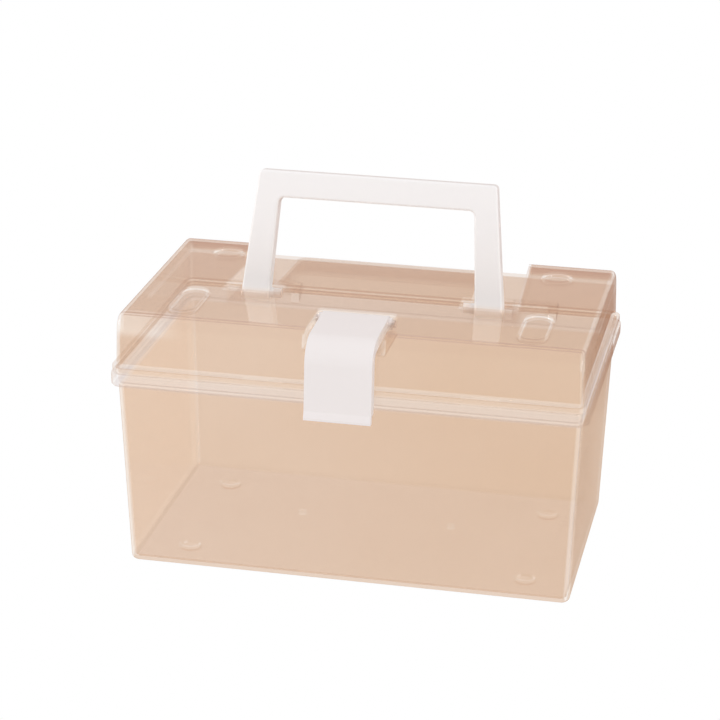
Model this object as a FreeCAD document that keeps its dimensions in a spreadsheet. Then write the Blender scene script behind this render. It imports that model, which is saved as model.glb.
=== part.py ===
import FreeCAD, Part
import Sketcher
import os
import re
from FreeCAD import Vector

# Clear plastic tool box with a bail handle and a front latch, in millimetres.
# X runs along the box, the front faces -Y and Z is up.
# The origin is under the middle of the tub, on the plane that its feet stand on.

SIZES = {
    # Tub
    "rim_length": 272.0,
    "rim_width": 162.0,
    "rim_depth": 7.4,
    "end_overhang": 3.7,
    "side_overhang": 4.4,
    "tub_height": 118.5,
    "end_draft": 2.0,
    "side_draft": 2.5,
    "tub_wall": 1.8,
    "tub_corner": 5.0,
    "base_edge": 3.0,
    "rim_corner": 8.0,
    "rim_edge": 1.0,
    "tongue_wall": 1.3,
    "tongue_height": 2.8,
    "gate_diameter": 5.0,
    "gate_depth": 0.5,
    "gate_spacing": 91.4,
    "gate_offset": 15.0,
    # Feet, and the sockets in the lid that take the feet of a box on top
    "foot_diameter": 13.0,
    "foot_height": 1.5,
    "foot_draft": 0.5,
    "foot_spacing": 199.6,
    "front_foot_offset": 43.6,
    "rear_foot_offset": 48.5,
    "socket_clearance": 0.8,
    "slot_travel": 25.0,
    "slot_shift": 5.0,
    # Lid
    "lid_height": 34.4,
    "lid_wall": 1.6,
    "end_ledge": 2.5,
    "side_ledge": 3.2,
    "skirt_height": 4.7,
    "skirt_wall": 1.6,
    "skirt_setback": 0.8,
    "lid_draft": 1.5,
    "lid_edge": 3.0,
    "front_round": 8.0,
    "rear_round": 11.0,
    "parting_gap": 0.3,
    # Handle channel in the lid
    "channel_lead": 1.3,
    "channel_width": 170.0,
    "channel_taper": 0.058,
    "channel_corner": 5.0,
    "plateau_draft": 6.5,
    "plateau_corner": 6.0,
    # Handle
    "handle_span": 120.8,
    "handle_width": 153.2,
    "handle_height": 71.4,
    "handle_thickness": 9.6,
    "handle_bar": 15.4,
    "leg_outer_taper": 0.106,
    "leg_inner_taper": 0.061,
    "grip_corner": 3.5,
    "handle_corner": 2.5,
    "handle_edge": 1.4,
    "handle_pivot_offset": 5.9,
    "handle_pivot_depth": 4.4,
    "handle_lean": 12.0,
    "handle_pin": 6.0,
    "handle_pin_length": 6.9,
    # Latch and its notch in the lid
    "latch_width": 38.0,
    "latch_offset": 1.4,
    "latch_wall": 2.4,
    "latch_side_wall": 2.0,
    "latch_barrel": 8.4,
    "latch_standoff": 7.6,
    "latch_tail": 4.8,
    "latch_slope": 2.5,
    "latch_lean": 3.0,
    "latch_shoulder": 15.0,
    "latch_skirt": 6.8,
    "latch_hem": 0.7,
    "latch_pin": 4.0,
    "latch_collar": 6.8,
    "latch_pivot_offset": 43.2,
    "latch_pivot_depth": 3.9,
    "lip_height": 5.0,
    "lip_flare": 1.0,
    "catch_width": 30.0,
    "catch_bite": 4.0,
    "notch_side_gap": 2.35,
    "notch_clearance": 2.4,
    "notch_lead": 1.5,
    "notch_corner": 1.5,
    # Rear hinge
    "barrel_diameter": 8.4,
    "hinge_pin": 4.0,
    "hinge_spacing": 160.0,
    "hinge_gap": 2.4,
    "ear_width": 5.0,
    "lid_knuckle_width": 21.4,
    "knuckle_web": 3.9,
    # Fits
    "pin_clearance": 0.05,
    "side_clearance": 0.3,
    "catch_clearance": 0.3,
    "swing_clearance": 0.4,
}

# Overlap between forms that are joined or cut through, never a visible size
SINK = 0.5
# Reach within which a place counts as the same, and one that is clearly past an edge
TOUCH = 0.01
STEP = 1.0

doc = FreeCAD.newDocument("tool_box")
sheet = doc.addObject("Spreadsheet::Sheet", "Sizes")
for row, (alias, size) in enumerate(SIZES.items(), start=1):
    sheet.set(f"A{row}", alias)
    sheet.set(f"B{row}", str(size))
    sheet.setAlias(f"B{row}", alias)
doc.recompute()


def formula(text):
    """Turns bare size names in a formula into references to the sheet."""
    return re.sub(r"[a-z_]+", lambda word: f"Sizes.{word[0]}" if word[0] in SIZES else word[0], text)


def worth(text):
    """Value of a formula with the sizes as they are now."""
    return float(sheet.evalExpression(formula(text)))


def bind(feature, target, text):
    """Sets a property from a formula, which then keeps following the sheet."""
    feature.setExpression(target, formula(text))


# Sketch helpers


def new_body(name):
    return doc.addObject("PartDesign::Body", name)


def new_sketch(body, name, role, offset="0"):
    """Sketch on an origin plane of its body, moved along the plane's normal."""
    sketch = body.newObject("Sketcher::SketchObject", name)
    plane = [item for item in body.Origin.OriginFeatures if item.Role == role][0]
    sketch.AttachmentSupport = [(plane, "")]
    sketch.MapMode = "FlatFace"
    bind(sketch, "AttachmentOffset.Base.z", offset)
    return sketch


def tie_point(sketch, geometry, end, across, along):
    """Pins one end or centre to formulas for its two coordinates."""
    for kind, text in (("DistanceX", across), ("DistanceY", along)):
        rule = Sketcher.Constraint(kind, -1, 1, geometry, end, worth(text))
        bind(sketch, f"Constraints[{sketch.addConstraint(rule)}]", text)


def add_polygon(sketch, corners):
    """Closed outline whose corners are pairs of formulas."""
    spots = [Vector(worth(across), worth(along), 0) for across, along in corners]
    first = sketch.GeometryCount
    count = len(spots)
    for place, spot in enumerate(spots):
        sketch.addGeometry(Part.LineSegment(spot, spots[(place + 1) % count]), False)
    for place in range(count):
        following = first + (place + 1) % count
        sketch.addConstraint(Sketcher.Constraint("Coincident", first + place, 2, following, 1))
    for place, (across, along) in enumerate(corners):
        tie_point(sketch, first + place, 1, across, along)


def add_circle(sketch, across, along, diameter):
    centre = Vector(worth(across), worth(along), 0)
    radius = worth(f"({diameter}) / 2")
    circle = sketch.addGeometry(Part.Circle(centre, Vector(0, 0, 1), radius), False)
    tie_point(sketch, circle, 3, across, along)
    rule = sketch.addConstraint(Sketcher.Constraint("Radius", circle, radius))
    bind(sketch, f"Constraints[{rule}]", f"({diameter}) / 2")


# Feature helpers


def add_pad(body, sketch, length, kind="PartDesign::Pad", symmetric=False):
    feature = body.newObject(kind, "Feature")
    feature.Profile = sketch
    if symmetric:
        feature.SideType = "Symmetric"
    bind(feature, "Length", length)
    doc.recompute()
    return feature


def add_wedge(body, low, high, low_box, high_box, kind="PartDesign::AdditiveWedge"):
    """Four-sided taper between two levels; each box is left, right, front, rear."""
    feature = body.newObject(kind, "Wedge")
    feature.Placement = FreeCAD.Placement(Vector(), FreeCAD.Rotation(Vector(1, 0, 0), 90))
    for target, text in (
        ("Ymin", low),
        ("Ymax", high),
        ("Xmin", low_box[0]),
        ("Xmax", low_box[1]),
        ("Zmin", f"-({low_box[3]})"),
        ("Zmax", f"-({low_box[2]})"),
        ("X2min", high_box[0]),
        ("X2max", high_box[1]),
        ("Z2min", f"-({high_box[3]})"),
        ("Z2max", f"-({high_box[2]})"),
    ):
        setattr(feature, target, worth(text))
        bind(feature, target, text)
    doc.recompute()
    return feature


def centred(length, width):
    """Left, right, front and rear of a rectangle about the origin."""
    return (f"-({length}) / 2", f"({length}) / 2", f"-({width}) / 2", f"({width}) / 2")


def round_edges(body, radius, wanted):
    """Fillets the edges of the body's tip that a test picks by their place."""
    base = body.Tip
    edges = enumerate(base.Shape.Edges, start=1)
    names = [f"Edge{place}" for place, edge in edges if wanted(edge)]
    feature = body.newObject("PartDesign::Fillet", "Round")
    feature.Base = (base, names)
    bind(feature, "Radius", radius)
    doc.recompute()
    return feature


def chamfer_edges(body, size, wanted):
    """Bevels the edges of the body's tip that a test picks by their place."""
    base = body.Tip
    edges = enumerate(base.Shape.Edges, start=1)
    names = [f"Edge{place}" for place, edge in edges if wanted(edge)]
    feature = body.newObject("PartDesign::Chamfer", "Bevel")
    feature.Base = (base, names)
    bind(feature, "Size", size)
    doc.recompute()
    return feature


def add_draft(body, angle, level, wanted):
    """Leans the upright faces that a test picks inwards above a level."""
    base = body.Tip
    faces = list(enumerate(base.Shape.Faces, start=1))
    leaning = [f"Face{place}" for place, face in faces if face.BoundBox.ZLength > STEP and wanted(face)]
    floor = [
        f"Face{place}"
        for place, face in faces
        if face.BoundBox.ZLength < TOUCH and abs(face.BoundBox.ZMin - level) < TOUCH
    ]
    feature = body.newObject("PartDesign::Draft", "Draft")
    feature.Base = (base, leaning)
    feature.NeutralPlane = (base, floor)
    bind(feature, "Angle", angle)
    doc.recompute()
    return feature


def join(kind, name, pieces):
    """Boolean of whole forms: a cut has two, a fuse or common has any number."""
    feature = doc.addObject(kind, name)
    if kind in ("Part::Cut", "Part::Common"):
        feature.Base, feature.Tool = pieces
    else:
        feature.Shapes = pieces
    doc.recompute()
    return feature


def cylinder(name, diameter, length, start, axis=Vector(0, 0, 1)):
    """Round form from a start point, given as three formulas, along an axis."""
    feature = doc.addObject("Part::Cylinder", name)
    bind(feature, "Radius", f"({diameter}) / 2")
    bind(feature, "Height", length)
    turn = FreeCAD.Rotation(Vector(0, 0, 1), axis)
    feature.Placement = FreeCAD.Placement(Vector(*[worth(text) for text in start]), turn)
    for letter, text in zip("xyz", start):
        bind(feature, f"Placement.Base.{letter}", text)
    doc.recompute()
    return feature


def is_upright(edge):
    """True of an edge that climbs, such as a drafted corner edge."""
    box = edge.BoundBox
    return box.ZLength > 2 * max(box.XLength, box.YLength)


def is_level(edge, height):
    box = edge.BoundBox
    return box.ZLength < TOUCH and abs(box.ZMin - height) < TOUCH


def runs_along_x(edge):
    box = edge.BoundBox
    return box.YLength < TOUCH and box.ZLength < TOUCH


def runs_along_y(edge):
    box = edge.BoundBox
    return box.XLength < TOUCH and box.ZLength < TOUCH


# Tub: drafted walls, a rim that steps outwards, a tongue, feet and hinge ears

RIM_LOW = "(tub_height - rim_depth)"
WALL_LENGTH = "(rim_length - 2 * end_overhang)"
WALL_WIDTH = "(rim_width - 2 * side_overhang)"
BASE_LENGTH = f"({WALL_LENGTH} - 2 * {RIM_LOW} * tan(end_draft * 1deg))"
BASE_WIDTH = f"({WALL_WIDTH} - 2 * {RIM_LOW} * tan(side_draft * 1deg))"
SKIRT_LENGTH = "(rim_length - 2 * skirt_setback)"
SKIRT_WIDTH = "(rim_width - 2 * skirt_setback)"
SKIRT_BORE = "(skirt_wall + parting_gap)"
TONGUE_LENGTH = f"({SKIRT_LENGTH} - 2 * {SKIRT_BORE})"
TONGUE_WIDTH = f"({SKIRT_WIDTH} - 2 * {SKIRT_BORE})"
HINGE_Y = "(rim_width / 2 + hinge_gap + barrel_diameter / 2)"


def upright_block(name, low, high, size, corner):
    """Body with straight sides and rounded upright edges."""
    body = new_body(name)
    add_wedge(body, low, high, centred(*size), centred(*size))
    round_edges(body, corner, is_upright)
    return body


def tub_wall_form(name, inset, low):
    """Tub walls up to the rim, drawn in by an inset."""
    body = new_body(name)
    base = (f"{BASE_LENGTH} - 2 * {inset}", f"{BASE_WIDTH} - 2 * {inset}")
    top = (f"{WALL_LENGTH} - 2 * {inset}", f"{WALL_WIDTH} - 2 * {inset}")
    add_wedge(body, low, f"{RIM_LOW} + {inset}", centred(*base), centred(*top))
    round_edges(body, f"tub_corner - {inset}", is_upright)
    return body


def foot_places():
    """Formulas for the middle of each foot, and of the lid sockets above them."""
    for side in ("-", ""):
        for row, offset in (("front", "-front_foot_offset"), ("rear", "rear_foot_offset")):
            yield side, row, f"{side}foot_spacing / 2", offset


def tub_feet():
    feet = []
    for side, row, across, along in foot_places():
        foot = doc.addObject("Part::Cone", "foot")
        bind(foot, "Radius1", "foot_diameter / 2 - foot_draft")
        bind(foot, "Radius2", "foot_diameter / 2")
        bind(foot, "Height", f"foot_height + {SINK}")
        bind(foot, "Placement.Base.x", across)
        bind(foot, "Placement.Base.y", along)
        bind(foot, "Placement.Base.z", "-foot_height")
        feet.append(foot)
    return feet


def knuckle(name, left, width, up, web, root):
    """Hinge barrel on the rear axis with a web from the box, given low, under and high."""
    body = new_body(name)
    ring = new_sketch(body, f"{name}_ring", "YZ_Plane", left)
    add_circle(ring, HINGE_Y, up, "barrel_diameter")
    add_pad(body, ring, width)
    low, under, high = web
    plan = new_sketch(body, f"{name}_web", "YZ_Plane", left)
    add_polygon(plan, [(root, low), (HINGE_Y, under), (HINGE_Y, high), (root, high)])
    add_pad(body, plan, width)
    return body


def ear_places():
    """Left ends of the four tub ears, two beside each lid knuckle."""
    for side in (-1, 1):
        for hand in (-1, 1):
            middle = f"{side} * hinge_spacing / 2"
            inner = f"{hand} * (lid_knuckle_width / 2 + side_clearance + ear_width / 2)"
            yield f"{middle} + {inner} - ear_width / 2"


def tub_shell():
    walls = tub_wall_form("tub_walls", "0", "0")
    round_edges(walls, "base_edge", lambda edge: is_level(edge, 0))
    rim = upright_block("tub_rim", RIM_LOW, "tub_height", ("rim_length", "rim_width"), "rim_corner")
    low = worth(RIM_LOW)
    chamfer_edges(rim, "rim_edge", lambda edge: is_level(edge, low))
    tongue_corner = f"rim_corner - skirt_setback - {SKIRT_BORE}"
    tongue_top = "tub_height + tongue_height"
    tongue = upright_block(
        "tub_tongue", RIM_LOW, tongue_top, (TONGUE_LENGTH, TONGUE_WIDTH), tongue_corner
    )
    ears = [
        knuckle(
            "tub_ear",
            left,
            "ear_width",
            "tub_height",
            (RIM_LOW, "tub_height - barrel_diameter / 2", "tub_height - side_clearance"),
            f"rim_width / 2 - {SINK}",
        )
        for left in ear_places()
    ]
    outside = join("Part::MultiFuse", "tub_outside", [walls, rim, tongue, *tub_feet(), *ears])
    inside = tub_wall_form("tub_core", "tub_wall", "tub_wall")
    floor = worth("tub_wall")
    chamfer_edges(inside, "base_edge / 2", lambda edge: is_level(edge, floor))
    mouth_size = (f"{TONGUE_LENGTH} - 2 * tongue_wall", f"{TONGUE_WIDTH} - 2 * tongue_wall")
    mouth = upright_block(
        "tub_mouth",
        f"{RIM_LOW} + tub_wall - {SINK}",
        f"{tongue_top} + {SINK}",
        mouth_size,
        f"{tongue_corner} - tongue_wall",
    )
    bores = [
        cylinder(
            "ear_bore",
            "hinge_pin + 2 * pin_clearance",
            f"ear_width + 2 * {SINK}",
            (f"{left} - {SINK}", HINGE_Y, "tub_height"),
            Vector(1, 0, 0),
        )
        for left in ear_places()
    ]
    gates = [
        cylinder("gate", "gate_diameter", f"gate_depth + {SINK}", (across, "gate_offset", f"-{SINK}"))
        for across in ("-gate_spacing / 2", "gate_spacing / 2")
    ]
    hollow = join("Part::MultiFuse", "tub_hollow", [inside, mouth, *bores, *gates])
    return join("Part::Cut", "tub", [outside, hollow])


# Lid: one form drawn twice, outside and, drawn in by the wall, inside


PIVOT_Z = "(lid_height - handle_pivot_depth)"
CHANNEL_DEPTH = "(handle_pivot_depth + handle_thickness / 2 + swing_clearance)"
CHANNEL_FRONT = "(-handle_pivot_offset - handle_thickness / 2 - channel_lead)"
CHANNEL_FLOOR = f"(lid_height - {CHANNEL_DEPTH})"
HANDLE_Y = "(-handle_pivot_offset)"
BAR_INSIDE = "(handle_height - handle_bar)"
LATCH_Y = "(-latch_pivot_offset)"
LATCH_Z = "(lid_height - latch_pivot_depth)"
LATCH_X = "(-latch_offset)"
LATCH_REACH = "(rim_width / 2 + latch_standoff - latch_pivot_offset)"
NOTCH_WIDTH = "(latch_width + 2 * notch_side_gap)"
NOTCH_DEPTH = "(latch_pivot_depth + latch_barrel / 2 + notch_clearance)"
NOTCH_REAR = "(-latch_pivot_offset + latch_barrel / 2 + notch_lead)"


def lid_block(name, inset):
    """Lid walls and top, with broad roundings in front and behind."""
    body = new_body(name)
    low = "skirt_height / 2"
    rise = "(lid_height - skirt_height)"
    length = f"(rim_length - 2 * end_ledge - 2 * skirt_setback - 2 * {inset})"
    width = f"(rim_width - 2 * side_ledge - 2 * skirt_setback - 2 * {inset})"
    lean = f"2 * {rise} * tan(lid_draft * 1deg)"
    top = (f"{length} - {lean}", f"{width} - {lean}")
    add_wedge(body, low, f"lid_height - {inset}", centred(length, width), centred(*top))
    height = worth(f"lid_height - {inset}")
    for sign, radius in ((-1, "front_round"), (1, "rear_round")):
        round_edges(
            body,
            f"{radius} - {inset}",
            lambda edge: is_level(edge, height) and runs_along_x(edge) and sign * edge.BoundBox.YMin > 0,
        )
    bottom = worth(low)
    end = worth(f"({length} - {lean}) / 2") - STEP
    round_edges(
        body,
        f"lid_edge - {inset}",
        lambda edge: abs(edge.BoundBox.XMin) > end and abs(edge.BoundBox.XMax) > end
        and not is_level(edge, bottom) and edge.BoundBox.XMin * edge.BoundBox.XMax > 0,
    )
    return body


def lid_skirt(name, inset, low, high):
    size = (f"{SKIRT_LENGTH} - 2 * {inset}", f"{SKIRT_WIDTH} - 2 * {inset}")
    return upright_block(name, low, high, size, f"rim_corner - skirt_setback - {inset}")


def channel_form(name, inset):
    """Space of the U channel: two leg slots joined behind a raised plateau."""
    body = new_body(name)
    floor = f"({CHANNEL_FLOOR} - {inset})"
    front = f"({CHANNEL_FRONT} - {inset})"
    rear = "(rim_width / 2)"
    half_front = f"(channel_width / 2 + {inset})"
    half_rear = f"({half_front} - channel_taper * ({rear} - {front}))"
    plan = new_sketch(body, f"{name}_plan", "XY_Plane", floor)
    add_polygon(
        plan,
        [
            (f"-{half_front}", front),
            (half_front, front),
            (half_rear, rear),
            (f"-{half_rear}", rear),
        ],
    )
    add_pad(body, plan, f"{CHANNEL_DEPTH} + {inset} + {SINK}")
    line = worth(front)
    round_edges(
        body,
        f"channel_corner + {inset}",
        lambda edge: is_upright(edge) and abs(edge.BoundBox.YMin - line) < TOUCH,
    )
    return body


def plateau_form(name, inset):
    """Raised middle of the lid that the folded handle lies round."""
    body = new_body(name)
    floor = f"({CHANNEL_FLOOR} - {inset} - {SINK})"
    front = f"({CHANNEL_FRONT} - {inset} - {SINK})"
    rear = f"({HANDLE_Y} + {BAR_INSIDE} - swing_clearance - {inset})"
    half = f"(handle_span / 2 - swing_clearance - {inset})"
    near = f"({half} - leg_inner_taper * ({front} - {HANDLE_Y}))"
    far = f"({half} - leg_inner_taper * ({rear} - {HANDLE_Y}))"
    plan = new_sketch(body, f"{name}_plan", "XY_Plane", floor)
    add_polygon(plan, [(f"-{near}", front), (near, front), (far, rear), (f"-{far}", rear)])
    add_pad(body, plan, f"{CHANNEL_DEPTH} + {inset} + 2 * {SINK}")
    line = worth(rear) - STEP
    round_edges(
        body,
        f"plateau_corner - {inset}",
        lambda edge: is_upright(edge) and edge.BoundBox.YMin > line,
    )
    start = worth(front) + STEP
    add_draft(body, "plateau_draft", worth(floor), lambda face: face.BoundBox.YMax > start)
    return body


def notch_form(name, inset):
    """Space cut through the front of the lid for the latch."""
    body = new_body(name)
    left = f"({LATCH_X} - {NOTCH_WIDTH} / 2 - {inset})"
    right = f"({LATCH_X} + {NOTCH_WIDTH} / 2 + {inset})"
    floor = f"(lid_height - {NOTCH_DEPTH} - {inset})"
    rear = f"({NOTCH_REAR} + {inset})"
    box = (left, right, "-rim_width / 2", rear)
    add_wedge(body, floor, f"lid_height + {SINK}", box, box)
    line = worth(rear)
    round_edges(
        body,
        f"notch_corner + {inset}",
        lambda edge: is_upright(edge) and abs(edge.BoundBox.YMin - line) < TOUCH,
    )
    return body


def socket_forms(name, inset):
    """Recesses that take the feet of a box on top: slots in front, rounds behind."""
    forms = []
    width = f"(foot_diameter + 2 * socket_clearance + 2 * {inset})"
    for side, row, across, along in foot_places():
        low = f"lid_height - foot_height - {inset}"
        tall = f"foot_height + {inset} + {SINK}"
        if row == "rear":
            forms.append(cylinder(name, f"{width} + 2 * socket_clearance", tall, (across, along, low)))
            continue
        middle = f"{along} + slot_shift"
        ends = (f"{middle} - slot_travel / 2", f"{middle} + slot_travel / 2")
        for end in ends:
            forms.append(cylinder(name, width, tall, (across, end, low)))
        body = new_body(name)
        box = (f"{across} - {width} / 2", f"{across} + {width} / 2", ends[0], ends[1])
        add_wedge(body, low, f"lid_height + {SINK}", box, box)
        forms.append(body)
    return forms


def lid_form(name, inset):
    block = lid_block(f"{name}_block", inset)
    channel = join(
        "Part::Cut",
        f"{name}_channel",
        [channel_form(f"{name}_channel_form", inset), plateau_form(f"{name}_plateau", inset)],
    )
    spaces = [channel, notch_form(f"{name}_notch", inset), *socket_forms(f"{name}_socket", inset)]
    cutter = join("Part::MultiFuse", f"{name}_spaces", spaces)
    return join("Part::Cut", f"{name}_form", [block, cutter])


def lid_knuckles():
    forms = []
    for side in (-1, 1):
        left = f"{side} * hinge_spacing / 2 - lid_knuckle_width / 2"
        forms.append(
            knuckle(
                "lid_knuckle",
                left,
                "lid_knuckle_width",
                "0",
                ("parting_gap", "parting_gap", "parting_gap + knuckle_web"),
                f"{SKIRT_WIDTH} / 2 - {SINK}",
            )
        )
        forms.append(
            cylinder(
                "lid_hinge_pin",
                "hinge_pin",
                "lid_knuckle_width + 2 * ear_width",
                (f"{left} - ear_width", HINGE_Y, "0"),
                Vector(1, 0, 0),
            )
        )
    return forms


def lid():
    outside = join(
        "Part::MultiFuse",
        "lid_outside",
        [
            lid_form("lid_outer", "0"),
            lid_skirt("lid_skirt", "0", "parting_gap", "skirt_height"),
            *lid_knuckles(),
        ],
    )
    inside = join(
        "Part::MultiFuse",
        "lid_inside",
        [
            lid_form("lid_inner", "lid_wall"),
            lid_skirt("lid_skirt_core", "skirt_wall", f"-{SINK}", "skirt_height - skirt_wall"),
        ],
    )
    bores = []
    for side in ("-", ""):
        bores.append(
            cylinder(
                "handle_bore",
                "handle_pin + 2 * pin_clearance",
                "handle_pin_length + side_clearance",
                (
                    "-handle_span / 2"
                    if side == "-"
                    else "handle_span / 2 - handle_pin_length - side_clearance",
                    HANDLE_Y,
                    PIVOT_Z,
                ),
                Vector(1, 0, 0),
            )
        )
        bores.append(
            cylinder(
                "latch_bore",
                "latch_pin + 2 * pin_clearance",
                f"lid_wall + 2 * {SINK}",
                (
                    f"{LATCH_X} - {NOTCH_WIDTH} / 2 - lid_wall - {SINK}"
                    if side == "-"
                    else f"{LATCH_X} + {NOTCH_WIDTH} / 2 - {SINK}",
                    LATCH_Y,
                    LATCH_Z,
                ),
                Vector(1, 0, 0),
            )
        )
    hollow = join("Part::MultiFuse", "lid_hollow", [inside, *bores])
    return join("Part::Cut", "lid", [outside, hollow])


# Handle, drawn upright about its pivot


def leg_half(size, taper, level):
    return f"({size} / 2 - {taper} * ({level}))"


def handle():
    foot = "(-handle_thickness / 2)"
    front = new_body("handle_front")
    face = new_sketch(front, "handle_face", "XZ_Plane")
    outer_low = leg_half("handle_width", "leg_outer_taper", foot)
    outer_high = leg_half("handle_width", "leg_outer_taper", "handle_height")
    inner_low = leg_half("handle_span", "leg_inner_taper", foot)
    inner_high = leg_half("handle_span", "leg_inner_taper", BAR_INSIDE)
    add_polygon(
        face,
        [
            (f"-{outer_low}", foot),
            (f"-{inner_low}", foot),
            (f"-{inner_high}", BAR_INSIDE),
            (inner_high, BAR_INSIDE),
            (inner_low, foot),
            (outer_low, foot),
            (outer_high, "handle_height"),
            (f"-{outer_high}", "handle_height"),
        ],
    )
    add_pad(front, face, "handle_thickness", symmetric=True)
    top = worth("handle_height")
    bar = worth(BAR_INSIDE)
    round_edges(front, "handle_corner", lambda edge: is_level(edge, top) and runs_along_y(edge))
    round_edges(front, "grip_corner", lambda edge: is_level(edge, bar) and runs_along_y(edge))
    half = "handle_thickness / 2"
    face_y = worth(half)
    round_edges(
        front,
        "handle_edge",
        lambda edge: abs(abs(edge.BoundBox.YMin) - face_y) < TOUCH and edge.BoundBox.YLength < TOUCH,
    )
    side = new_body("handle_side")
    strip = new_sketch(side, "handle_strip", "YZ_Plane")
    above = f"handle_height + {SINK}"
    half = f"({half} + {SINK})"
    add_polygon(strip, [(f"-{half}", "0"), (half, "0"), (half, above), (f"-{half}", above)])
    add_pad(side, strip, "2 * handle_width", symmetric=True)
    end = new_sketch(side, "handle_end", "YZ_Plane")
    add_circle(end, "0", "0", "handle_thickness")
    add_pad(side, end, "2 * handle_width", symmetric=True)
    pieces = [join("Part::Common", "handle_bail", [front, side])]
    for start in (f"-handle_span / 2 - {SINK}", "handle_span / 2 - handle_pin_length"):
        pieces.append(
            cylinder(
                "handle_pin_form",
                "handle_pin",
                f"handle_pin_length + {SINK}",
                (start, "0", "0"),
                Vector(1, 0, 0),
            )
        )
    return join("Part::MultiFuse", "handle", pieces)


# Latch, drawn closed about its pivot


def plate_y(level):
    """Front face of the latch plate at a level below the pivot."""
    return f"(-{LATCH_REACH} + ({level}) * tan(latch_lean * 1deg))"


LATCH_DROP = f"({LATCH_Z} + rim_depth + latch_tail)"
HEM = f"(-{LATCH_Z} - rim_depth - latch_hem)"
SHOULDER_Z = (
    f"((latch_barrel / 2 - {LATCH_REACH} * tan(latch_slope * 1deg))"
    " / (1 - tan(latch_lean * 1deg) * tan(latch_slope * 1deg)))"
)
CATCH_TOP = f"(-({LATCH_Z} + rim_depth + catch_clearance))"
CATCH_RADIUS = (
    "(sqrt((rim_width / 2 - latch_pivot_offset)^2"
    f" + ({LATCH_Z} + rim_depth - rim_edge)^2) + catch_clearance)"
)
CATCH_TIP = "(-(rim_width / 2 - latch_pivot_offset - catch_bite))"


def latch():
    outside = new_body("latch_outside")
    profile = new_sketch(outside, "latch_profile", "YZ_Plane")
    top = "latch_barrel / 2"
    inner_z = f"({SHOULDER_Z} - latch_skirt)"
    add_polygon(
        profile,
        [
            ("0", top),
            (plate_y(SHOULDER_Z), SHOULDER_Z),
            (plate_y(HEM), HEM),
            (f"{plate_y(HEM)} + latch_skirt", HEM),
            (f"{plate_y(inner_z)} + latch_skirt", inner_z),
            ("0", f"{top} - latch_skirt"),
        ],
    )
    add_pad(outside, profile, "latch_width", symmetric=True)
    ring = new_sketch(outside, "latch_ring", "YZ_Plane")
    add_circle(ring, "0", "0", "latch_barrel")
    add_pad(outside, ring, "latch_width", symmetric=True)
    peak = worth(SHOULDER_Z)
    round_edges(outside, "latch_shoulder", lambda edge: is_level(edge, peak) and runs_along_x(edge))
    valley = worth(inner_z)
    round_edges(outside, "latch_shoulder / 3", lambda edge: is_level(edge, valley) and runs_along_x(edge))
    plate = new_body("latch_plate")
    tail = new_sketch(plate, "latch_tail", "YZ_Plane")
    end = f"(-{LATCH_DROP})"
    lip = f"(lip_height - {LATCH_DROP})"
    add_polygon(
        tail,
        [
            (plate_y(f"{HEM} + {SINK}"), f"{HEM} + {SINK}"),
            (plate_y(lip), lip),
            (f"{plate_y(end)} - lip_flare", f"{end} + lip_height / 4"),
            (f"{plate_y(end)} - lip_flare", end),
            (f"{plate_y(end)} + latch_wall", end),
            (f"{plate_y(HEM)} + latch_wall", f"{HEM} + {SINK}"),
        ],
    )
    add_pad(plate, tail, "latch_width", symmetric=True)
    hollow = new_body("latch_hollow")
    space = new_sketch(hollow, "latch_space", "YZ_Plane")
    back = "(latch_barrel / 2 - latch_wall)"
    under = f"({HEM} - {SINK})"
    add_polygon(
        space,
        [
            (back, back),
            (f"{plate_y(SHOULDER_Z)} + latch_wall", f"{SHOULDER_Z} - latch_wall"),
            (f"{plate_y(under)} + latch_wall", under),
            (back, under),
        ],
    )
    add_pad(hollow, space, "latch_width - 2 * latch_side_wall", symmetric=True)
    crest = worth(f"{SHOULDER_Z} - latch_wall")
    round_edges(
        hollow,
        "latch_shoulder - latch_wall",
        lambda edge: is_level(edge, crest) and runs_along_x(edge),
    )
    shell = join("Part::Cut", "latch_shell", [outside, hollow])
    catch = new_body("latch_catch")
    wedge = new_sketch(catch, "catch_wedge", "YZ_Plane")
    seat = f"({plate_y(CATCH_TOP)} + latch_wall - {SINK})"
    tip_low = f"(-sqrt({CATCH_RADIUS}^2 - {CATCH_TIP}^2) - {SINK})"
    add_polygon(
        wedge,
        [
            (seat, CATCH_TOP),
            (CATCH_TIP, CATCH_TOP),
            (CATCH_TIP, tip_low),
            (seat, f"{end} + {SINK}"),
        ],
    )
    add_pad(catch, wedge, "catch_width", symmetric=True)
    swing = cylinder(
        "catch_swing",
        f"2 * {CATCH_RADIUS}",
        "latch_width",
        ("-latch_width / 2", "0", "0"),
        Vector(1, 0, 0),
    )
    hook = join("Part::Cut", "latch_hook", [catch, swing])
    pieces = [shell, plate, hook]
    for sign in (-1, 1):
        for diameter, length in (
            ("latch_pin", "notch_side_gap + lid_wall"),
            ("latch_collar", "notch_side_gap - side_clearance"),
        ):
            start = f"-latch_width / 2 - ({length})" if sign < 0 else f"latch_width / 2 - {SINK}"
            pieces.append(
                cylinder("latch_pin_form", diameter, f"{length} + {SINK}", (start, "0", "0"), Vector(1, 0, 0))
            )
    return join("Part::MultiFuse", "latch", pieces)


def place(feature, across, along, up, turn=0.0):
    """Puts a finished piece at its place in the box."""
    spot = Vector(worth(across), worth(along), worth(up))
    feature.Placement = FreeCAD.Placement(spot, FreeCAD.Rotation(Vector(1, 0, 0), turn))
    for letter, text in zip("xyz", (across, along, up)):
        bind(feature, f"Placement.Base.{letter}", text)
    doc.recompute()


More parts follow.
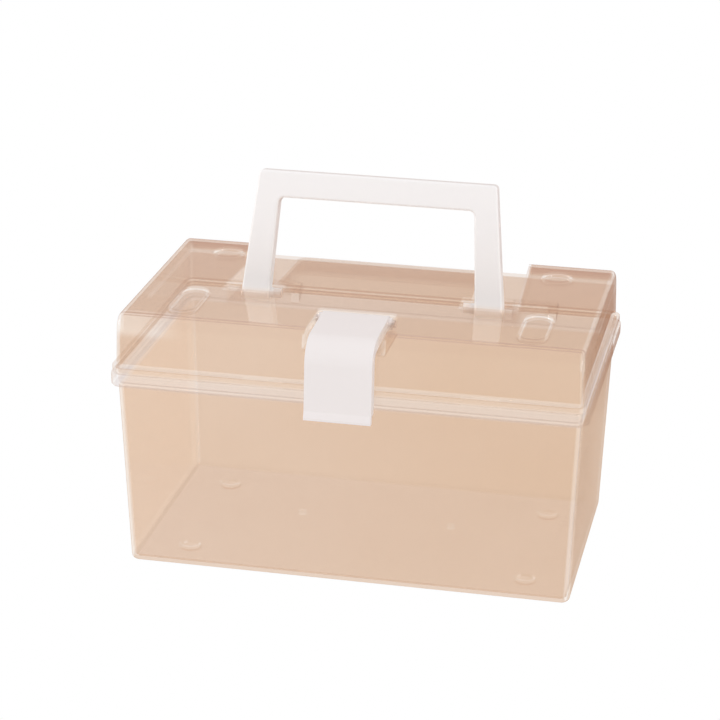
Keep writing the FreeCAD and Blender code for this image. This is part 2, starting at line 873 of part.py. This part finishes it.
def main():
    parting = "foot_height + tub_height"
    pieces = [tub_shell(), lid(), handle(), latch()]
    place(pieces[0], "0", "0", "foot_height")
    place(pieces[1], "0", "0", parting)
    place(pieces[2], "0", HANDLE_Y, f"{parting} + {PIVOT_Z}", -worth("handle_lean"))
    place(pieces[3], LATCH_X, LATCH_Y, f"{parting} + {LATCH_Z}")
    for item in doc.Objects:
        if "Invalid" in item.State or "Error" in item.State:
            raise RuntimeError(f"{item.Name} failed: {item.State}")
    os.makedirs("parts", exist_ok=True)
    for piece in pieces:
        shape = piece.Shape
        if shape.isNull() or not shape.isValid() or len(shape.Solids) != 1:
            raise RuntimeError(f"{piece.Label} isn't one valid solid")
        shape.exportStep(f"parts/{piece.Label}.step")
        box = shape.optimalBoundingBox()
        print(piece.Label, round(shape.Volume), box)


main()
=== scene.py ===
# %% [markdown]
# # A clear plastic tool box
#
# This notebook dresses a finished CAD model for a studio picture. The shapes come from the
# imported model, in metres, with Z up and the front facing -Y. Here they get their materials, a
# floor, light and a camera. The first cell loads the model and lists its pieces.

# %% Load the model
import math

import bpy
from mathutils import Matrix, Vector

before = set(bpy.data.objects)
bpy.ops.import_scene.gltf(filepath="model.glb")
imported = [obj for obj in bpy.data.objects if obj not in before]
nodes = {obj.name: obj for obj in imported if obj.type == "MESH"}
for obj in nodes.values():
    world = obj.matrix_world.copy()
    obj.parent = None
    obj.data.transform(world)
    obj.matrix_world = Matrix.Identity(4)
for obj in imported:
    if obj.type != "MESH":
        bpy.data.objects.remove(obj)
bpy.ops.object.select_all(action="DESELECT")


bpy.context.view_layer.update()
print("pieces:", sorted(nodes))

# %% [markdown]
# ## Node helpers
#
# Every pattern reads Object coordinates, so it stays on its piece when the piece moves. A few
# small helpers keep the rest short. Each adds one kind of node and takes either a plain value
# or the output of another node.

# %% Helpers
def add(tree, kind, place=(0, 0), **settings):
    """Adds a node, sets its options and the values of its inputs by name."""
    node = tree.nodes.new(kind)
    node.location = place
    for name, value in settings.items():
        if name in node.inputs:
            node.inputs[name].default_value = value
        else:
            setattr(node, name, value)
    return node


def feed(tree, value, socket):
    """Links an output to an input, or sets the input where the value is a plain one."""
    if isinstance(value, bpy.types.NodeSocket):
        tree.links.new(value, socket)
    else:
        socket.default_value = value


def math_node(tree, operation, *values, place=(0, 0)):
    """Math node; gives back its output."""
    node = add(tree, "ShaderNodeMath", place, operation=operation)
    for socket, value in zip(node.inputs, values):
        feed(tree, value, socket)
    return node.outputs[0]


def ramp(tree, value, start, full, to_start=0.0, to_full=1.0, place=(0, 0), **settings):
    """Map Range node that carries one range of a value over to another."""
    node = add(tree, "ShaderNodeMapRange", place, **settings)
    limits = {"Value": value, "From Min": start, "From Max": full, "To Min": to_start, "To Max": to_full}
    for name, limit in limits.items():
        feed(tree, limit, node.inputs[name])
    return node.outputs["Result"]


def mix_colors(tree, factor, first, second, place=(0, 0)):
    node = add(tree, "ShaderNodeMix", place, data_type="RGBA")
    feed(tree, factor, node.inputs["Factor"])
    feed(tree, first, node.inputs[6])
    feed(tree, second, node.inputs[7])
    return node.outputs[2]


def mix_shaders(tree, factor, first, second, place=(0, 0)):
    node = add(tree, "ShaderNodeMixShader", place)
    feed(tree, factor, node.inputs[0])
    feed(tree, first.outputs[0], node.inputs[1])
    feed(tree, second.outputs[0], node.inputs[2])
    return node


def new_group(name, inputs, outputs):
    """Starts a node group with its sockets; each is a name, a type and a default."""
    group = bpy.data.node_groups.new(name, "ShaderNodeTree")
    for in_out, sockets in (("INPUT", inputs), ("OUTPUT", outputs)):
        for label, kind, value in sockets:
            socket = group.interface.new_socket(label, in_out=in_out, socket_type=kind)
            if value is not None:
                socket.default_value = value
    start = add(group, "NodeGroupInput", (-900, 0))
    end = add(group, "NodeGroupOutput", (500, 0))
    return group, start, end


COLOR, VALUE, NORMAL = "NodeSocketColor", "NodeSocketFloat", "NodeSocketVector"
print("helpers ready")

# %% [markdown]
# ## Tint that drifts
#
# No moulding is perfectly even. The first shared group wanders between two tints: slowly along
# the box, towards the second tint at its right end, with a soft cloud on top of that.

# %% Tint drift
HALF_BOX = 0.12
FROM_CLOUD, FROM_LENGTH = 0.4, 0.6

drift, start, end = new_group(
    "Tint drift",
    [("Thin", COLOR, (1, 1, 1, 1)), ("Thick", COLOR, (0.8, 0.8, 0.8, 1)), ("Scale", VALUE, 9.0)],
    [("Color", COLOR, None)],
)
where = add(drift, "ShaderNodeTexCoord", (-900, 250)).outputs["Object"]
cloud = add(drift, "ShaderNodeTexNoise", (-600, 150), Detail=2.0, Roughness=0.45)
axes = add(drift, "ShaderNodeSeparateXYZ", (-600, 400))
drift.links.new(where, cloud.inputs["Vector"])
drift.links.new(where, axes.inputs[0])
drift.links.new(start.outputs["Scale"], cloud.inputs["Scale"])
spread = ramp(drift, cloud.outputs["Fac"], 0.3, 0.7, to_full=FROM_CLOUD, place=(-350, 150))
along = ramp(drift, axes.outputs["X"], -HALF_BOX, HALF_BOX, to_full=FROM_LENGTH, place=(-350, 400))
total = math_node(drift, "ADD", spread, along, place=(-150, 250))
blend = mix_colors(drift, total, start.outputs["Thin"], start.outputs["Thick"])
drift.links.new(blend, end.inputs["Color"])
print("group:", drift.name)

# %% [markdown]
# ## Skin of the mould
#
# A moulded face copies the polished steel it was pressed against. The second group gives that
# skin: a faint waviness that bends reflections, fine grain that softens them, and patches that
# are a little less glossy than the rest.

# %% Mould skin
skin, start, end = new_group(
    "Mould skin",
    [("Smooth", VALUE, 0.03), ("Rough", VALUE, 0.08), ("Grain", VALUE, 0.02), ("Waves", VALUE, 0.05)],
    [("Roughness", VALUE, None), ("Gloss", VALUE, None), ("Normal", NORMAL, None)],
)
where = add(skin, "ShaderNodeTexCoord", (-900, 350)).outputs["Object"]
patches = add(skin, "ShaderNodeTexNoise", (-600, 450), Scale=28.0, Detail=3.0)
grain = add(skin, "ShaderNodeTexNoise", (-600, 150), Scale=2600.0, Detail=1.0)
waves = add(skin, "ShaderNodeTexNoise", (-600, -150), Scale=22.0, Detail=1.0, Roughness=0.3)
for noise in (patches, grain, waves):
    skin.links.new(where, noise.inputs["Vector"])
shine = ramp(
    skin, patches.outputs["Fac"], 0.0, 1.0, start.outputs["Smooth"], start.outputs["Rough"], (-300, 450)
)
gloss = ramp(skin, patches.outputs["Fac"], 0.0, 1.0, to_start=0.8, place=(-300, 750))
fine = add(skin, "ShaderNodeBump", (-100, 50), Distance=0.00002)
broad = add(skin, "ShaderNodeBump", (150, 0), Distance=0.0006)
skin.links.new(grain.outputs["Fac"], fine.inputs["Height"])
skin.links.new(start.outputs["Grain"], fine.inputs["Strength"])
skin.links.new(waves.outputs["Fac"], broad.inputs["Height"])
skin.links.new(start.outputs["Waves"], broad.inputs["Strength"])
skin.links.new(fine.outputs["Normal"], broad.inputs["Normal"])
skin.links.new(shine, end.inputs["Roughness"])
skin.links.new(gloss, end.inputs["Gloss"])
skin.links.new(broad.outputs["Normal"], end.inputs["Normal"])
print("group:", skin.name)

# %% [markdown]
# ## Zones of the moulding
#
# Clear plastic shows its own shape. Where it is folded or doubled, as at the rim, it looks
# milky, and where the wall turns away it looks deeper. Light on its edges is painted in: thin
# white lines of painted highlight at folds, edges and outlines, a painted sheen on the lid's
# end edges, painted reflections on the lid top and a painted dark line along its front.
# The third group marks these zones by their place on the piece and by the way they face. Each
# mask is 1 inside its zone. The helpers below make masks and join them.

# %% Mask helpers
ZONES = ("Base", "Sill", "End", "Rear", "Nape", "Rim", "Skirt", "Painted shoulder sheen")
PAINTED_LINES = ("Ledge", "Channel floor and painted reflections", "Step", "Edge", "Foot", "Painted dark line", "Outline")
LINE = 0.0007
EDGE_LINE = 0.0012

zones, start, end = new_group(
    "Zones of the moulding", [], [(label, VALUE, None) for label in ZONES + PAINTED_LINES]
)
where = add(zones, "ShaderNodeTexCoord", (-1300, 0))
axes = add(zones, "ShaderNodeSeparateXYZ", (-1100, -200))
turned = add(zones, "ShaderNodeSeparateXYZ", (-1100, 300))
zones.links.new(where.outputs["Object"], axes.inputs[0])
zones.links.new(where.outputs["Normal"], turned.inputs[0])
x, y, z = (axes.outputs[letter] for letter in "XYZ")
from_middle = math_node(zones, "ABSOLUTE", x)
sideways = math_node(zones, "ABSOLUTE", turned.outputs["X"])
upward = math_node(zones, "ABSOLUTE", turned.outputs["Z"])


def band(value, low, high):
    """Mask that is 1 where a value lies between two limits."""
    return math_node(zones, "COMPARE", value, (low + high) / 2, (high - low) / 2)


def fade(value, start, full):
    """Mask that grows smoothly from 0 at one value to 1 at another."""
    return ramp(zones, value, start, full, interpolation_type="SMOOTHSTEP")


def all_of(*masks):
    """Mask of what lies in every one of some masks."""
    result, *others = masks
    for mask in others:
        result = math_node(zones, "MULTIPLY", result, mask)
    return result


def any_of(*masks):
    """Mask of what lies in at least one of some masks; a number is a least value."""
    result, *others = masks
    for mask in others:
        result = math_node(zones, "MAXIMUM", result, mask)
    return result


def distance(value, middle):
    return math_node(zones, "ABSOLUTE", math_node(zones, "SUBTRACT", value, middle))


def outline(across, along, radius, width=LINE):
    """Thin line at a set distance from the corner that two distances are measured from."""
    corner = add(zones, "ShaderNodeCombineXYZ")
    zones.links.new(math_node(zones, "MAXIMUM", across, 0.0), corner.inputs["X"])
    zones.links.new(math_node(zones, "MAXIMUM", along, 0.0), corner.inputs["Y"])
    reach = add(zones, "ShaderNodeVectorMath", operation="LENGTH")
    zones.links.new(corner.outputs[0], reach.inputs[0])
    return band(reach.outputs["Value"], radius - width, radius + width)


print("group started:", zones.name)

# %% [markdown]
# The lid has recesses in its top, and a fold runs round each of them: two slots and two rounds
# for the feet of a box on top, the channel that the handle folds into, the raised plateau
# inside the channel, and the notch of the latch. Their places are those of the CAD model. An
# outline is measured from the middle of its rounded corner. These outlines, and those round the
# feet and gate marks under the tub, are drawn as thin lines of painted highlight.

# %% Outlines
FOOT_X, FRONT_FOOT_Y, REAR_FOOT_Y, FOOT_RADIUS = 0.0998, -0.0436, 0.0485, 0.0062
SLOT_Y, SLOT_HALF, SLOT_RADIUS, ROUND_RADIUS = -0.0386, 0.0125, 0.0073, 0.0081
CHANNEL_SIDE, CHANNEL_FRONT, CHANNEL_TAPER, CHANNEL_RADIUS = 0.0793, -0.0070, 0.058, 0.0050
PLATEAU_SIDE, PLATEAU_REAR, PLATEAU_TAPER, PLATEAU_RADIUS = 0.0526, 0.0426, 0.061, 0.0060
PLATEAU_FOOT_RADIUS = 0.0073
NOTCH_X, NOTCH_HALF, NOTCH_REAR, NOTCH_RADIUS = -0.0014, 0.01985, -0.0390, 0.0015
GATE_X, GATE_Y, GATE_RADIUS = 0.0457, 0.0150, 0.0018

from_foot_x = distance(from_middle, FOOT_X)
from_rear_foot = distance(y, REAR_FOOT_Y)
from_slot = math_node(zones, "SUBTRACT", distance(y, SLOT_Y), SLOT_HALF)
sockets = any_of(
    outline(from_foot_x, from_slot, SLOT_RADIUS), outline(from_foot_x, from_rear_foot, ROUND_RADIUS)
)

leg_side = math_node(zones, "MULTIPLY_ADD", y, CHANNEL_TAPER, from_middle)
beside_channel = math_node(zones, "SUBTRACT", leg_side, CHANNEL_SIDE)
before_channel = math_node(zones, "SUBTRACT", CHANNEL_FRONT, y)
channel = all_of(
    outline(beside_channel, before_channel, CHANNEL_RADIUS, EDGE_LINE), band(from_middle, 0.059, 0.090)
)

plateau_side = math_node(zones, "MULTIPLY_ADD", y, PLATEAU_TAPER, from_middle)
beside_plateau = math_node(zones, "SUBTRACT", plateau_side, PLATEAU_SIDE)
behind_plateau = math_node(zones, "SUBTRACT", y, PLATEAU_REAR)
plateau = all_of(
    outline(beside_plateau, behind_plateau, PLATEAU_RADIUS, EDGE_LINE), band(y, -0.012, 0.060)
)
plateau_foot = all_of(
    outline(beside_plateau, behind_plateau, PLATEAU_FOOT_RADIUS, EDGE_LINE),
    band(z, 0.1426, 0.1462),
    band(y, -0.014, 0.060),
)

beside_notch = math_node(zones, "SUBTRACT", distance(x, NOTCH_X), NOTCH_HALF)
behind_notch = math_node(zones, "SUBTRACT", y, NOTCH_REAR)
notch = outline(beside_notch, behind_notch, NOTCH_RADIUS, EDGE_LINE)

feet = any_of(
    outline(from_foot_x, distance(y, FRONT_FOOT_Y), FOOT_RADIUS),
    outline(from_foot_x, from_rear_foot, FOOT_RADIUS),
)
front_halves = any_of(band(y, -0.0600, -0.0446), band(y, 0.0300, 0.0475))
gates = outline(distance(from_middle, GATE_X), distance(y, GATE_Y), GATE_RADIUS)
print("outlines of the sockets, channel, plateau, notch, feet and gates")

# %% [markdown]
# The other zones are plain ranges of height, of depth from front to rear, and of the way that a
# face is turned. A range holds a low and a high limit. The far side of the rim gets a weaker
# mask than the near side, because it is seen through more plastic.

# %% Masks
LEVELS = {
    "floor": (-0.0100, 0.0035),
    "sill": (-0.0100, 0.0052),
    "tub end": (0.0040, 0.1110),
    "rim": (0.1110, 0.1201),
    "rim fold": (0.1123, 0.1131),
    "rim top": (0.1197, 0.1205),
    "skirt": (0.1201, 0.1240),
    "ledge": (0.1240, 0.1254),
    "ledge line": (0.1243, 0.1250),
    "rear": (0.1250, 0.1600),
    "nape": (0.1400, 0.1600),
    "channel floor": (0.1426, 0.1450),
    "step": (0.1439, 0.1600),
    "end edge": (0.1440, 0.1600),
    "lid edge": (0.1500, 0.1600),
    "lid top": (0.1510, 0.1600),
}
DEPTHS = {
    "all but the rear": (-0.1000, 0.0500),
    "front half": (-0.1000, 0.0000),
    "lid front": (-0.1000, -0.0600),
    "sill": (-0.0900, -0.0500),
    "front rounding": (-0.0900, -0.0660),
    "notch": (-0.0850, -0.0300),
    "inside": (-0.0655, 0.0640),
    "painted_pocket_reflection": (-0.0165, 0.0000),
    "channel front": (-0.0140, 0.0000),
    "channel": (-0.0140, 0.0900),
    "nape": (0.0620, 0.0900),
    "rear": (0.0640, 0.0900),
    "knuckles": (0.0815, 0.1000),
}
SHEER, STEEP, BENT, LEVEL = (-0.1, 0.3), (-0.1, 0.7), (-0.1, 0.9), (0.97, 1.1)


def level(name):
    return band(z, *LEVELS[name])


def depth(name):
    return band(y, *DEPTHS[name])


near_or_half = any_of(depth("all but the rear"), 0.5)
near_or_third = any_of(depth("all but the rear"), 0.3)
front_or_third = any_of(depth("front half"), 0.3)
right_or_third = any_of(band(x, 0.0, 0.2), 0.3)
beside_legs = any_of(fade(from_middle, 0.074, 0.082), 0.1)
# Painted highlight: a white line on the upright rounded corners.
upright_edge = all_of(fade(sideways, 0.40, 0.62), fade(sideways, 0.90, 0.76), band(upward, *SHEER))
# Painted sheen along the rounded top edges at the lid's ends.
end_edge = all_of(fade(sideways, 0.08, 0.35), fade(sideways, 0.998, 0.96), level("end edge"))
inner_walls = any_of(
    all_of(band(from_middle, 0.0, 0.122), depth("inside")),
    all_of(band(x, -0.0250, 0.0222), depth("notch")),
)
# Painted highlight lines along the rim's ledge, its top and its fold.
rim_lines = any_of(
    all_of(level("ledge"), band(turned.outputs["Z"], 0.5, 1.1)),
    level("ledge line"),
    level("rim top"),
    all_of(level("rim fold"), band(upward, *BENT)),
)
channel_floor = all_of(
    level("channel floor"), any_of(depth("channel front"), all_of(depth("channel"), 0.7))
)
# Painted reflection of the handle's legs in the lid top, round their lower ends.
painted_pocket_reflection = all_of(level("lid edge"), band(from_middle, 0.0520, 0.0865), depth("painted_pocket_reflection"))
# Painted sheen: a pale reflection on the front-left rounding of the lid.
painted_front_left_sheen = all_of(fade(x, -0.090, -0.120), fade(z, 0.140, 0.146), depth("front rounding"))

masks = {
    "Base": all_of(level("floor"), band(upward, *LEVEL)),
    "Sill": all_of(level("sill"), band(turned.outputs["Z"], -0.97, -0.02), depth("sill")),
    "End": all_of(level("tub end"), band(sideways, 0.9, 1.1)),
    "Rear": all_of(level("rear"), depth("rear"), beside_legs),
    "Nape": all_of(level("nape"), depth("nape"), band(upward, 0.3, 0.985)),
    "Rim": all_of(level("rim"), near_or_half),
    "Skirt": all_of(level("skirt"), near_or_half),
    # Painted sheen on the lid's top end edges, full on the right and weaker on the left.
    "Painted shoulder sheen": all_of(end_edge, right_or_third),
    # Painted highlight lines on the rim, and paler hinge knuckles.
    "Ledge": any_of(all_of(rim_lines, near_or_third), depth("knuckles")),
    # Paler channel floor, with the painted reflections by the legs and on the front-left rounding.
    "Channel floor and painted reflections": any_of(channel_floor, painted_pocket_reflection, painted_front_left_sheen),
    # Painted highlight on the walls of the recesses in the lid top.
    "Step": all_of(level("step"), band(upward, *STEEP), inner_walls),
    # Painted highlight on the upright corners.
    "Edge": all_of(upright_edge, front_or_third),
    # Painted highlight rings round the feet and the gate marks.
    "Foot": all_of(any_of(all_of(feet, front_halves), gates), level("floor")),
    # Painted dark reflection line where the lid's front rounding starts.
    "Painted dark line": all_of(
        level("lid edge"), band(turned.outputs["Y"], -0.26, -0.09), depth("lid front")
    ),
    # Painted highlight outlines round the recesses in the lid top.
    "Outline": any_of(all_of(any_of(sockets, channel, plateau, notch), level("lid top")), plateau_foot),
}
for label, mask in masks.items():
    zones.links.new(mask, end.inputs[label])
print("zones:", len(ZONES), "and lines:", len(PAINTED_LINES))

# %% [markdown]
# ## The clear plastic
#
# The tub and the lid are clear, so each wall that light passes takes a little of its blue and
# green away: one wall looks almost white, three walls look like peach. The tint belongs to the
# faces, so a thick wall is no darker than a thin one, and the zones make up for that. A face
# seen at a slant has more plastic behind it and gets a deeper tint. A coat gives the gloss. A
# clear wall also has to let the lamps through, so shadow rays meet a tinted transparent surface
# instead of the plastic.

# %% Clear plastic
PLASTIC_IOR = 1.49
STRAIGHT_THROUGH = 1.001
GRAZING_POWER = 8.0
GRAZED = (0.640, 0.430, 0.330, 1)
ZONE_TINTS = {
    "Base": (0.945, 0.845, 0.765, 1),
    "Sill": (0.760, 0.570, 0.440, 1),
    "End": (0.950, 0.830, 0.725, 1),
    "Rear": (0.820, 0.675, 0.585, 1),
    "Nape": (0.690, 0.500, 0.410, 1),
    "Rim": (0.925, 0.890, 0.880, 1),
    "Skirt": (0.955, 0.900, 0.850, 1),
    # Painted sheen on the lid's end edges.
    "Painted shoulder sheen": (0.930, 0.870, 0.820, 1),
}
# Painted light: the pale tints below are painted highlights and painted reflections, the dark one is a
# painted dark line.
PAINTED_LINE_TINTS = {
    "Ledge": (1.000, 0.990, 0.980, 1),
    "Channel floor and painted reflections": (0.990, 0.960, 0.930, 1),
    "Step": (1.000, 0.990, 0.980, 1),
    "Edge": (1.000, 0.980, 0.960, 1),
    "Foot": (1.000, 0.980, 0.960, 1),
    # Painted dark reflection line.
    "Painted dark line": (0.720, 0.560, 0.500, 1),
    "Outline": (1.000, 1.000, 1.000, 1),
}


def blank_material(name):
    material = bpy.data.materials.new(name)
    material.use_nodes = True
    tree = material.node_tree
    tree.nodes.clear()
    return material, tree, add(tree, "ShaderNodeOutputMaterial", (700, 0))


def clear_plastic(name, thin, thick):
    material, tree, output = blank_material(name)
    walls = add(
        tree, "ShaderNodeGroup", (-1900, 200), node_tree=drift, Thin=thin, Thick=thick, Scale=9.0
    )
    zone = add(tree, "ShaderNodeGroup", (-1900, -100), node_tree=zones)
    tint = walls.outputs["Color"]
    for step, (label, color) in enumerate(ZONE_TINTS.items()):
        tint = mix_colors(tree, zone.outputs[label], tint, color, (120 * step - 1700, 300))
    facing = add(tree, "ShaderNodeLayerWeight", (-1300, 600), Blend=0.5)
    grazing = math_node(tree, "POWER", facing.outputs["Facing"], GRAZING_POWER, place=(-1100, 600))
    tint = mix_colors(tree, grazing, tint, GRAZED, (-950, 300))
    for step, (label, color) in enumerate(PAINTED_LINE_TINTS.items()):
        tint = mix_colors(tree, zone.outputs[label], tint, color, (120 * step - 830, 300))
    surface = add(
        tree, "ShaderNodeGroup", (-500, -150),
        node_tree=skin, Smooth=0.01, Rough=0.05, Grain=0.02, Waves=0.05,
    )
    shader = add(tree, "ShaderNodeBsdfPrincipled", (-100, 150), IOR=STRAIGHT_THROUGH)
    shader.inputs["Transmission Weight"].default_value = 1.0
    shader.inputs["Coat Roughness"].default_value = 0.03
    shader.inputs["Coat IOR"].default_value = PLASTIC_IOR
    tree.links.new(tint, shader.inputs["Base Color"])
    tree.links.new(surface.outputs["Roughness"], shader.inputs["Roughness"])
    tree.links.new(surface.outputs["Gloss"], shader.inputs["Coat Weight"])
    tree.links.new(surface.outputs["Normal"], shader.inputs["Normal"])
    passing = add(tree, "ShaderNodeBsdfTransparent", (-100, -250))
    tree.links.new(tint, passing.inputs["Color"])
    path = add(tree, "ShaderNodeLightPath", (150, 450))
    mix = mix_shaders(tree, path.outputs["Is Shadow Ray"], shader, passing, (450, 50))
    tree.links.new(mix.outputs[0], output.inputs["Surface"])
    return material


peach = clear_plastic("Clear peach plastic", (0.884, 0.770, 0.682, 1), (0.852, 0.716, 0.603, 1))
print("material:", peach.name)

# %% [markdown]
# ## The white plastic
#
# The handle and the latch are opaque, with a satin gloss. The latch faces the viewer and not
# the sky, so it gets a copy of the white plastic with greyer tints of its own: painted shade
# that makes it look a little greyer than the handle.

# %% White plastic
def white_plastic(name, thin, thick):
    material, tree, output = blank_material(name)
    tint = add(
        tree, "ShaderNodeGroup", (-500, 200), node_tree=drift, Thin=thin, Thick=thick, Scale=14.0
    )
    surface = add(
        tree, "ShaderNodeGroup", (-500, -150),
        node_tree=skin, Smooth=0.28, Rough=0.4, Grain=0.12, Waves=0.04,
    )
    shader = add(tree, "ShaderNodeBsdfPrincipled", (-100, 150), IOR=PLASTIC_IOR)
    tree.links.new(tint.outputs["Color"], shader.inputs["Base Color"])
    tree.links.new(surface.outputs["Roughness"], shader.inputs["Roughness"])
    tree.links.new(surface.outputs["Normal"], shader.inputs["Normal"])
    tree.links.new(shader.outputs[0], output.inputs["Surface"])
    return material


white = white_plastic("White handle plastic", (0.925, 0.905, 0.905, 1), (0.905, 0.885, 0.885, 1))
# Shaded copy of the white plastic for the latch: its darker tints are painted shade.
shaded_white = white_plastic("White plastic with painted shade", (0.865, 0.820, 0.815, 1), (0.840, 0.795, 0.790, 1))
for name, material in (("tub", peach), ("lid", peach), ("handle", white), ("latch", shaded_white)):
    nodes[name].data.materials.clear()
    nodes[name].data.materials.append(material)
print("materials:", white.name, "and", shaded_white.name)

# %% [markdown]
# ## Floor
#
# The picture has a plain white ground. The floor glows white to the camera and to rays that
# come through the clear plastic. To other light it is a plain pale surface, but a glossy face
# sees a painted reflection in it: a warm glow that darkens behind the box, so the mirrored
# floor doesn't bleach the plastic.

# %% Floor
# Painted reflection: glossy rays see the floor glow warm, and darker behind the box.
WARM_REFLECTION_GLOW = (0.62, 0.44, 0.32, 1)
DARK_REFLECTION_GLOW = (0.32, 0.14, 0.08, 1)
DARKENS_FROM, DARK_BY = 0.2, 0.4

bpy.ops.mesh.primitive_plane_add(size=6.0)
floor = bpy.context.object
floor.name = "floor"
paper, tree, output = blank_material("Paper")
where = add(tree, "ShaderNodeTexCoord", (-900, -300))
axes = add(tree, "ShaderNodeSeparateXYZ", (-700, -300))
tree.links.new(where.outputs["Object"], axes.inputs[0])
fading = ramp(tree, axes.outputs["Y"], DARKENS_FROM, DARK_BY, place=(-500, -300))
reflection_glow = mix_colors(tree, fading, WARM_REFLECTION_GLOW, DARK_REFLECTION_GLOW, (-250, -300))
plain = add(tree, "ShaderNodeBsdfDiffuse", (0, 100), Color=(0.9, 0.9, 0.9, 1))
glow = add(tree, "ShaderNodeEmission", (0, -100), Color=(1, 1, 1, 1), Strength=1.0)
mirrored = add(tree, "ShaderNodeEmission", (0, -250), Strength=1.0)
tree.links.new(reflection_glow, mirrored.inputs["Color"])
path = add(tree, "ShaderNodeLightPath", (-600, 300))
seen = math_node(
    tree,
    "MAXIMUM",
    path.outputs["Is Camera Ray"],
    path.outputs["Is Transmission Ray"],
    place=(-200, 300),
)
lit = mix_shaders(tree, path.outputs["Is Glossy Ray"], plain, mirrored, (200, 100))
mix = mix_shaders(tree, seen, lit, glow, (400, 0))
tree.links.new(mix.outputs[0], output.inputs["Surface"])
floor.data.materials.append(paper)
print("floor:", floor.name)

# %% [markdown]
# ## World
#
# The world is the soft main light. The camera sees it plain white, and so does what scatters
# light, such as the white parts and the floor. A ray that has only been mirrored or has only
# come through the plastic meets a dim warm room, a little cooler overhead.

# %% World
HORIZON = (0.62, 0.46, 0.38, 1)
OVERHEAD = (0.55, 0.42, 0.38, 1)
OVERHEAD_FROM = 0.3

world = bpy.data.worlds.new("Studio")
bpy.context.scene.world = world
world.use_nodes = True
tree = world.node_tree
tree.nodes.clear()
output = add(tree, "ShaderNodeOutputWorld", (500, 0))
where = add(tree, "ShaderNodeTexCoord", (-900, 0))
axes = add(tree, "ShaderNodeSeparateXYZ", (-700, 0))
tree.links.new(where.outputs["Generated"], axes.inputs[0])
height = ramp(tree, axes.outputs["Z"], 0.0, OVERHEAD_FROM, place=(-500, 0))
room = mix_colors(tree, height, HORIZON, OVERHEAD, (-250, 0))
ambient = add(tree, "ShaderNodeBackground", (0, 200), Color=(1, 1, 1, 1), Strength=0.88)
mirrored = add(tree, "ShaderNodeBackground", (0, 0), Strength=1.0)
backdrop = add(tree, "ShaderNodeBackground", (0, -200), Color=(1, 1, 1, 1), Strength=1.0)
tree.links.new(room, mirrored.inputs["Color"])
path = add(tree, "ShaderNodeLightPath", (-300, 400))
scattered = math_node(tree, "MINIMUM", path.outputs["Diffuse Depth"], 1.0, place=(-100, 500))
bent = mix_shaders(tree, scattered, mirrored, ambient, (200, 100))
mix = mix_shaders(tree, path.outputs["Is Camera Ray"], bent, backdrop, (350, 0))
tree.links.new(mix.outputs[0], output.inputs["Surface"])
print("world:", world.name)

# %% [markdown]
# ## Lamps
#
# Two tall, narrow lamps stand far out on the left and on the right. They add little light, but
# they glint on the rounded corners of the lid and the tub, which tells the eye that the plastic
# is glossy.

# %% Lamps
LAMP_AIM = (0, 0, 0.1)


def soft_box(name, spot, width, height, power):
    """Area lamp at a spot, turned to face the box."""
    lamp = bpy.data.lights.new(name, "AREA")
    lamp.shape = "RECTANGLE"
    lamp.size, lamp.size_y, lamp.energy = width, height, power
    thing = bpy.data.objects.new(name, lamp)
    bpy.context.scene.collection.objects.link(thing)
    thing.location = spot
    thing.rotation_euler = (Vector(LAMP_AIM) - Vector(spot)).to_track_quat("-Z", "Y").to_euler()
    return thing


lamps = [
    soft_box("left", (-1.6, -0.25, 0.7), width=0.16, height=1.0, power=9.0),
    soft_box("right", (1.6, -0.80, 0.7), width=0.14, height=1.0, power=6.0),
]
print("lamps:", [lamp.name for lamp in lamps])

# %% [markdown]
# ## Camera
#
# The camera was solved from the straight edges of the box in the picture: a long lens, turned a
# little to the left and tilted down by about 21 degrees.

# %% Camera
CAMERA_SPOT = (0.2690, -1.3153, 0.6236)
YAW, PITCH, ROLL = (math.radians(angle) for angle in (11.89, 20.90, 0.60))
FOCAL_LENGTH = 123.09
BOUNCES = 32

ahead = Vector(
    (-math.sin(YAW) * math.cos(PITCH), math.cos(YAW) * math.cos(PITCH), -math.sin(PITCH))
)
across = Vector((math.cos(YAW), math.sin(YAW), 0))
above = across.cross(ahead)
right = math.cos(ROLL) * across + math.sin(ROLL) * above
top = math.cos(ROLL) * above - math.sin(ROLL) * across
turn = Matrix((right, top, -ahead)).transposed()

lens = bpy.data.cameras.new("camera")
lens.sensor_width = 36.0
lens.lens = FOCAL_LENGTH
lens.clip_start, lens.clip_end = 0.1, 20.0
camera = bpy.data.objects.new("camera", lens)
scene = bpy.context.scene
scene.collection.objects.link(camera)
camera.matrix_world = Matrix.Translation(CAMERA_SPOT) @ turn.to_4x4()
scene.camera = camera
scene.view_settings.view_transform = "Standard"
scene.cycles.max_bounces = BOUNCES
scene.cycles.transmission_bounces = BOUNCES
scene.cycles.transparent_max_bounces = BOUNCES
print("camera:", round(lens.lens, 1), "mm")
